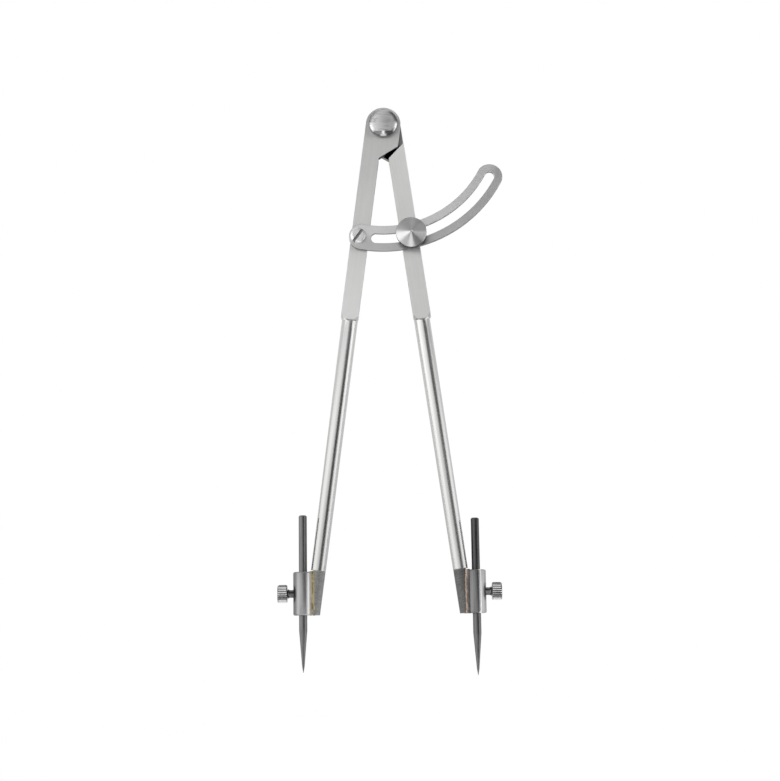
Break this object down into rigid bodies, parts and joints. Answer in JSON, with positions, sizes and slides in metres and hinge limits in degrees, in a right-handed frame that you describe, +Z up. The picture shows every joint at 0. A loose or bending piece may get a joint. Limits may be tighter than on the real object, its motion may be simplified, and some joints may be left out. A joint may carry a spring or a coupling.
{
  "type": "wing divider",
  "caption": "Steel wing divider: hinged legs with clamped needle points, and a slotted arc with a thumb screw that locks the opening.",
  "frame": {"origin": "on the hinge axis of the two legs, at the middle of the legs' thickness, in the round head where the divider is held", "axes": "+X to the right, towards the wing's free end; +Y to the back, along the hinge axis; +Z up from the needle points to the head"},
  "size_m": [0.1191, 0.0242, 0.2982],
  "materials": {
    "leg_steel": "satin ground flats, polished round lower legs, dark ground feet",
    "socket_steel": "satin turned",
    "needle_steel": "dark hardened, drawn lengthwise",
    "braze": "uneven brass braze, browned in places",
    "thumb_screw_steel": "bright turned, straight knurl",
    "pivot_steel": "ground face with fine scratches, polished rim",
    "washer_brass": "plain rolled brass",
    "spring_steel": "dark zinc plated",
    "nut_steel": "bright zinc plated",
    "wing_steel": "satin ground",
    "screw_nickel": "bright nickel plated",
    "washer_steel": "plain zinc plated",
    "knob_steel": "bright turned face, straight knurl"
  },
  "bodies": {
    "left_side": {"left_leg": "leg_steel", "left_head_plate": "leg_steel", "left_head_braze": "braze", "left_socket": "socket_steel", "left_socket_braze": "braze", "pivot_bolt": "pivot_steel", "pivot_washer": "washer_brass", "pivot_spring_washer": "spring_steel", "pivot_nut": "nut_steel", "wing": "wing_steel", "wing_screw": "screw_nickel", "wing_spacer": "washer_steel"},
    "right_side": {"right_leg": "leg_steel", "right_head_plate": "leg_steel", "right_head_braze": "braze", "right_socket": "socket_steel", "right_socket_braze": "braze", "wing_clamp_washer": "washer_steel"},
    "wing_clamp": {"wing_clamp_screw": "knob_steel"},
    "left_needle": {"left_needle": "needle_steel"},
    "right_needle": {"right_needle": "needle_steel"},
    "left_needle_clamp": {"left_needle_clamp": "thumb_screw_steel"},
    "right_needle_clamp": {"right_needle_clamp": "thumb_screw_steel"}
  },
  "joints": [
    {"name": "leg_opening", "type": "hinge", "parent": "left_side", "child": "right_side", "pos_m": [0, 0, 0], "axis": [0, -1, 0], "range_deg": [-15.5, 48.5]},
    {"name": "wing_clamp_turn", "type": "hinge", "parent": "right_side", "child": "wing_clamp", "pos_m": [0.01383, 0, -0.06187], "axis": [0, -1, 0], "range_deg": [0, 360]},
    {"name": "left_needle_slide", "type": "slide", "parent": "left_side", "child": "left_needle", "axis": [0, 0, 1], "range_m": [-0.0262, 0.0088]},
    {"name": "right_needle_slide", "type": "slide", "parent": "right_side", "child": "right_needle", "axis": [0, 0, 1], "range_m": [-0.0238, 0.0112]},
    {"name": "left_needle_clamp_turn", "type": "hinge", "parent": "left_side", "child": "left_needle_clamp", "pos_m": [-0.04394, 0, -0.24718], "axis": [-1, 0, 0], "range_deg": [0, 360]},
    {"name": "right_needle_clamp_turn", "type": "hinge", "parent": "right_side", "child": "right_needle_clamp", "pos_m": [0.04394, 0, -0.24718], "axis": [1, 0, 0], "range_deg": [0, 360]}
  ]
}
